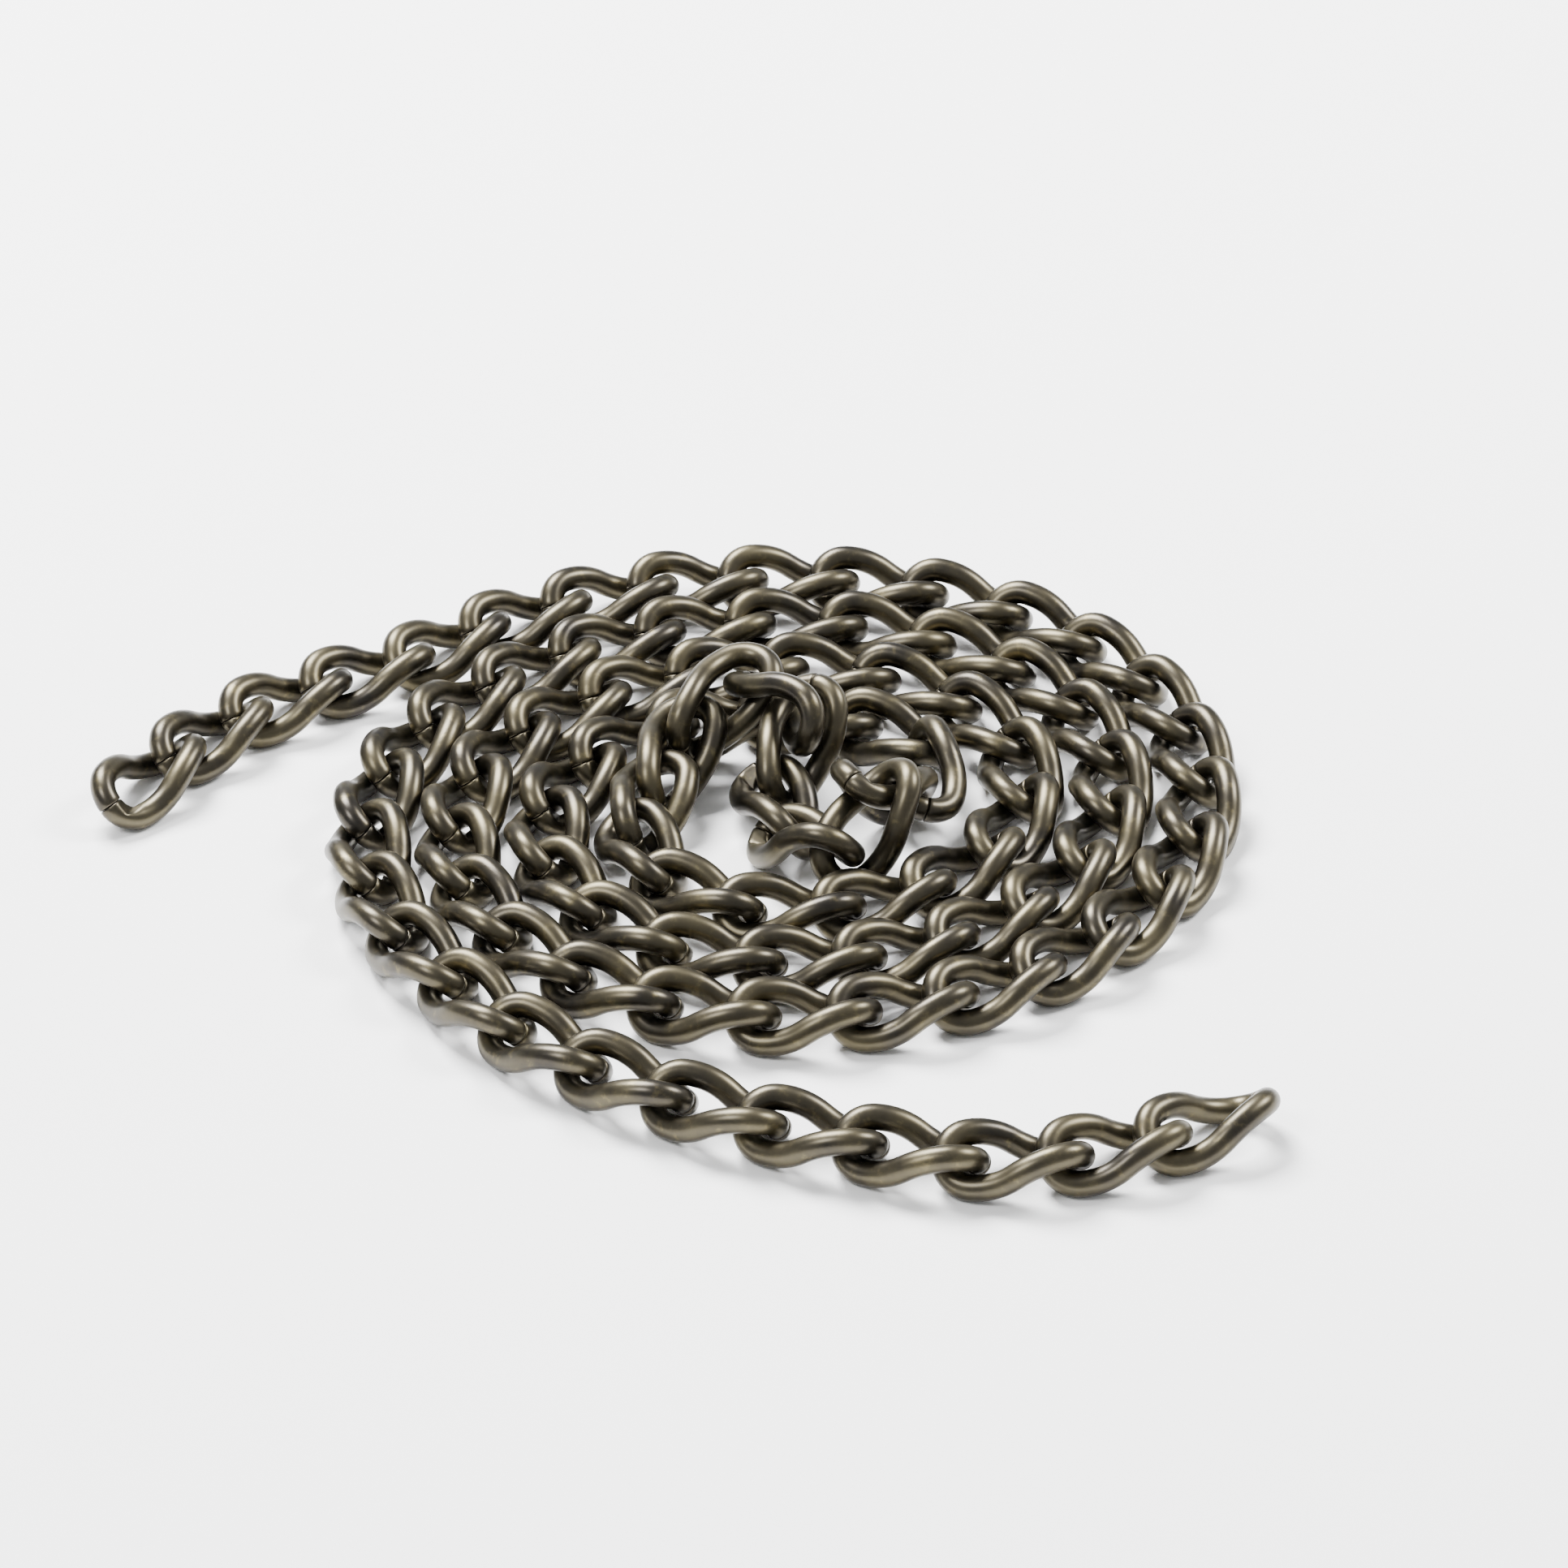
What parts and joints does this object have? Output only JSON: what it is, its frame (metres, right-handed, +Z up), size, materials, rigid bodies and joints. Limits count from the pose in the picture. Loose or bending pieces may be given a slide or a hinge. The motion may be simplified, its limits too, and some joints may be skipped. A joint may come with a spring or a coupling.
{
  "type": "curb chain",
  "caption": "Curb chain of twisted round-wire links, folded in half and wound into a flat coil with both free ends outside.",
  "frame": {"origin": "on the surface that the chain lies on, at the middle of the footprint of the whole chain", "axes": "+Z up, away from that surface; +X to the right and +Y to the back, with free end a at the front right and free end b at the left"},
  "size_m": [0.138, 0.1307, 0.0156],
  "materials": {
    "wire": "antique bronze plating, dark olive brown, satin, with pale warm highlights"
  },
  "bodies": {
    "coil": {"links_a11_a13": "wire", "links_a14_a16": "wire", "links_a17_a19": "wire", "links_a20_a22": "wire", "links_a23_a25": "wire", "links_a26_a28": "wire", "links_a29_a31": "wire", "links_a32_a34": "wire", "links_a35_a37": "wire", "links_b18_b20": "wire", "links_b21_b23": "wire", "links_b24_b26": "wire", "links_b27_b29": "wire", "links_b30_b32": "wire", "links_b33_b35": "wire", "links_b36_b38": "wire", "links_b39_b41": "wire", "link_c01": "wire", "link_c02": "wire", "link_c03": "wire", "link_c04": "wire", "link_c05": "wire", "link_c06": "wire", "link_c07": "wire", "link_c08": "wire", "link_c09": "wire", "link_c10": "wire", "link_c11": "wire", "link_c12": "wire"},
    "link_a10": {"link_a10": "wire"},
    "link_a09": {"link_a09": "wire"},
    "link_a08": {"link_a08": "wire"},
    "link_a07": {"link_a07": "wire"},
    "link_a06": {"link_a06": "wire"},
    "link_a05": {"link_a05": "wire"},
    "link_a04": {"link_a04": "wire"},
    "link_a03": {"link_a03": "wire"},
    "link_a02": {"link_a02": "wire"},
    "link_a01": {"link_a01": "wire"},
    "link_b17": {"link_b17": "wire"},
    "link_b16": {"link_b16": "wire"},
    "link_b15": {"link_b15": "wire"},
    "link_b14": {"link_b14": "wire"},
    "link_b13": {"link_b13": "wire"},
    "link_b12": {"link_b12": "wire"},
    "link_b11": {"link_b11": "wire"},
    "link_b10": {"link_b10": "wire"},
    "link_b09": {"link_b09": "wire"},
    "link_b08": {"link_b08": "wire"},
    "link_b07": {"link_b07": "wire"},
    "link_b06": {"link_b06": "wire"},
    "link_b05": {"link_b05": "wire"},
    "link_b04": {"link_b04": "wire"},
    "link_b03": {"link_b03": "wire"},
    "link_b02": {"link_b02": "wire"},
    "link_b01": {"link_b01": "wire"}
  },
  "joints": [
    {"name": "swing_a10", "type": "hinge", "parent": "coil", "child": "link_a10", "pos_m": [-0.03148, -0.01643, 0.0034], "axis": [0, 0, 1], "range_deg": [-20, 1]},
    {"name": "swing_a09", "type": "hinge", "parent": "link_a10", "child": "link_a09", "pos_m": [-0.02508, -0.02599, 0.0034], "axis": [0, 0, 1], "range_deg": [-11, 3]},
    {"name": "swing_a08", "type": "hinge", "parent": "link_a09", "child": "link_a08", "pos_m": [-0.01797, -0.03503, 0.0034], "axis": [0, 0, 1], "range_deg": [-18, 2]},
    {"name": "swing_a07", "type": "hinge", "parent": "link_a08", "child": "link_a07", "pos_m": [-0.00913, -0.04239, 0.0034], "axis": [0, 0, 1], "range_deg": [-14, 4]},
    {"name": "swing_a06", "type": "hinge", "parent": "link_a07", "child": "link_a06", "pos_m": [0.00061, -0.0485, 0.0034], "axis": [0, 0, 1], "range_deg": [-15, 4]},
    {"name": "swing_a05", "type": "hinge", "parent": "link_a06", "child": "link_a05", "pos_m": [0.01102, -0.05339, 0.0034], "axis": [0, 0, 1], "range_deg": [-16, 4]},
    {"name": "swing_a04", "type": "hinge", "parent": "link_a05", "child": "link_a04", "pos_m": [0.02191, -0.05709, 0.0034], "axis": [0, 0, 1], "range_deg": [-9, 5]},
    {"name": "swing_a03", "type": "hinge", "parent": "link_a04", "child": "link_a03", "pos_m": [0.03297, -0.06023, 0.0034], "axis": [0, 0, 1], "range_deg": [-17, 1]},
    {"name": "swing_a02", "type": "hinge", "parent": "link_a03", "child": "link_a02", "pos_m": [0.04447, -0.05997, 0.0034], "axis": [0, 0, 1], "range_deg": [-17, 2]},
    {"name": "swing_a01", "type": "hinge", "parent": "link_a02", "child": "link_a01", "pos_m": [0.05544, -0.05652, 0.0034], "axis": [0, 0, 1], "range_deg": [-15, 4]},
    {"name": "swing_b17", "type": "hinge", "parent": "coil", "child": "link_b17", "pos_m": [0.05826, -0.008, 0.0034], "axis": [0, 0, 1], "range_deg": [-16, 0]},
    {"name": "swing_b16", "type": "hinge", "parent": "link_b17", "child": "link_b16", "pos_m": [0.06248, 0.0027, 0.0034], "axis": [0, 0, 1], "range_deg": [-16, 0]},
    {"name": "swing_b15", "type": "hinge", "parent": "link_b16", "child": "link_b15", "pos_m": [0.06381, 0.01412, 0.0034], "axis": [0, 0, 1], "range_deg": [-16, 0]},
    {"name": "swing_b14", "type": "hinge", "parent": "link_b15", "child": "link_b14", "pos_m": [0.06216, 0.0255, 0.0034], "axis": [0, 0, 1], "range_deg": [-16, 0]},
    {"name": "swing_b13", "type": "hinge", "parent": "link_b14", "child": "link_b13", "pos_m": [0.05769, 0.0361, 0.0034], "axis": [0, 0, 1], "range_deg": [-16, 0]},
    {"name": "swing_b12", "type": "hinge", "parent": "link_b13", "child": "link_b12", "pos_m": [0.05074, 0.04526, 0.0034], "axis": [0, 0, 1], "range_deg": [-16, 0]},
    {"name": "swing_b11", "type": "hinge", "parent": "link_b12", "child": "link_b11", "pos_m": [0.04181, 0.0525, 0.0034], "axis": [0, 0, 1], "range_deg": [-16, 0]},
    {"name": "swing_b10", "type": "hinge", "parent": "link_b11", "child": "link_b10", "pos_m": [0.03147, 0.05754, 0.0034], "axis": [0, 0, 1], "range_deg": [-16, 0]},
    {"name": "swing_b09", "type": "hinge", "parent": "link_b10", "child": "link_b09", "pos_m": [0.02027, 0.06014, 0.0034], "axis": [0, 0, 1], "range_deg": [-17, 0]},
    {"name": "swing_b08", "type": "hinge", "parent": "link_b09", "child": "link_b08", "pos_m": [0.00877, 0.06029, 0.0034], "axis": [0, 0, 1], "range_deg": [-15, 0]},
    {"name": "swing_b07", "type": "hinge", "parent": "link_b08", "child": "link_b07", "pos_m": [-0.0026, 0.05856, 0.0034], "axis": [0, 0, 1], "range_deg": [-17, 1]},
    {"name": "swing_b06", "type": "hinge", "parent": "link_b07", "child": "link_b06", "pos_m": [-0.01339, 0.05459, 0.0034], "axis": [0, 0, 1], "range_deg": [-15, 2]},
    {"name": "swing_b05", "type": "hinge", "parent": "link_b06", "child": "link_b05", "pos_m": [-0.0234, 0.04892, 0.0034], "axis": [0, 0, 1], "range_deg": [-19, 4]},
    {"name": "swing_b04", "type": "hinge", "parent": "link_b05", "child": "link_b04", "pos_m": [-0.03242, 0.04179, 0.0034], "axis": [0, 0, 1], "range_deg": [-5, 10]},
    {"name": "swing_b03", "type": "hinge", "parent": "link_b04", "child": "link_b03", "pos_m": [-0.04244, 0.03615, 0.0034], "axis": [0, 0, 1], "range_deg": [-13, 4]},
    {"name": "swing_b02", "type": "hinge", "parent": "link_b03", "child": "link_b02", "pos_m": [-0.05181, 0.02948, 0.0034], "axis": [0, 0, 1], "range_deg": [-18, 3]},
    {"name": "swing_b01", "type": "hinge", "parent": "link_b02", "child": "link_b01", "pos_m": [-0.05949, 0.02092, 0.0034], "axis": [0, 0, 1], "range_deg": [-15, 5]}
  ]
}
